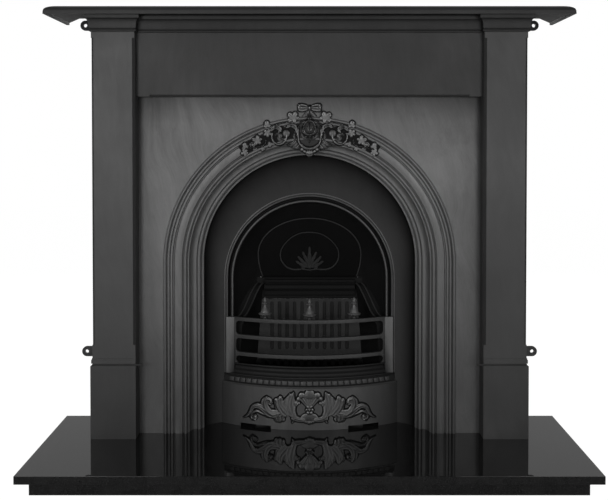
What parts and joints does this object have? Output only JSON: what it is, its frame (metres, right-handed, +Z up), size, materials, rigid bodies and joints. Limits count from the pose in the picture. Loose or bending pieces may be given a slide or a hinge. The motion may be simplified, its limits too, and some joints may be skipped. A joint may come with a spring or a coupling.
{
  "type": "cast iron fireplace",
  "caption": "Cast iron fireplace: a moulded mantel with shelf round an arched insert with a bowed fire basket and leaf ornament, on a boxed granite hearth.",
  "frame": {"origin": "middle of the flat underside of the hearth, where it rests on the floor", "axes": "+X to the right as one faces the fire, +Y back into the wall, +Z up"},
  "size_m": [1.372, 0.449, 1.183],
  "materials": {
    "granite": "polished black granite",
    "concrete": "rough",
    "mantel_iron": "blackleaded, satin",
    "insert_iron": "blackleaded, satin",
    "firebox_iron": "matt heat-proof black",
    "pan_steel": "blackened sheet",
    "bolt_steel": "dull"
  },
  "bodies": {
    "frame": {"hearth_slab": "granite", "hearth_bed": "concrete", "riser_front": "granite", "riser_left": "granite", "riser_right": "granite", "riser_back": "granite", "left_leg": "mantel_iron", "right_leg": "mantel_iron", "frieze": "mantel_iron", "shelf": "mantel_iron", "shelf_bolts": "bolt_steel", "frieze_bolts": "bolt_steel", "insert_bolts": "bolt_steel", "face_plate": "insert_iron", "crown_ornament": "insert_iron", "reveal": "insert_iron", "inner_ring": "insert_iron", "ring_bolts": "bolt_steel", "ledge_bolts": "bolt_steel", "hood": "firebox_iron", "lintel": "firebox_iron", "left_cheek": "firebox_iron", "right_cheek": "firebox_iron", "fireback": "firebox_iron", "firebox_bolts": "bolt_steel", "dentil_ledge": "insert_iron"},
    "damper": {"damper_plate": "firebox_iron", "damper_ornament": "firebox_iron", "damper_rod": "bolt_steel"},
    "grate": {"bottom_grate": "firebox_iron"},
    "bars": {"front_bars": "insert_iron", "left_finial": "insert_iron", "centre_finial": "insert_iron", "right_finial": "insert_iron"},
    "cover": {"ashpit_cover": "insert_iron", "cover_ornament": "insert_iron"},
    "pan": {"ash_pan": "pan_steel", "pan_handle": "pan_steel"}
  },
  "joints": [
    {"name": "damper_hinge", "type": "hinge", "parent": "frame", "child": "damper", "pos_m": [0, 0.2375, 0.425], "axis": [-1, 0, 0], "range_deg": [0, 35]},
    {"name": "bars_lift", "type": "slide", "parent": "frame", "child": "bars", "axis": [0, 0, 1], "range_m": [0, 0.03]},
    {"name": "grate_lift", "type": "slide", "parent": "frame", "child": "grate", "axis": [0, 0, 1], "range_m": [0, 0.03]},
    {"name": "cover_slide", "type": "slide", "parent": "frame", "child": "cover", "axis": [0, -1, 0], "range_m": [0, 0.16]},
    {"name": "pan_slide", "type": "slide", "parent": "frame", "child": "pan", "axis": [0, -1, 0], "range_m": [0, 0.16]}
  ],
  "couplings": [
    {"joint": "pan_slide", "follows": "cover_slide", "ratio": 1}
  ]
}
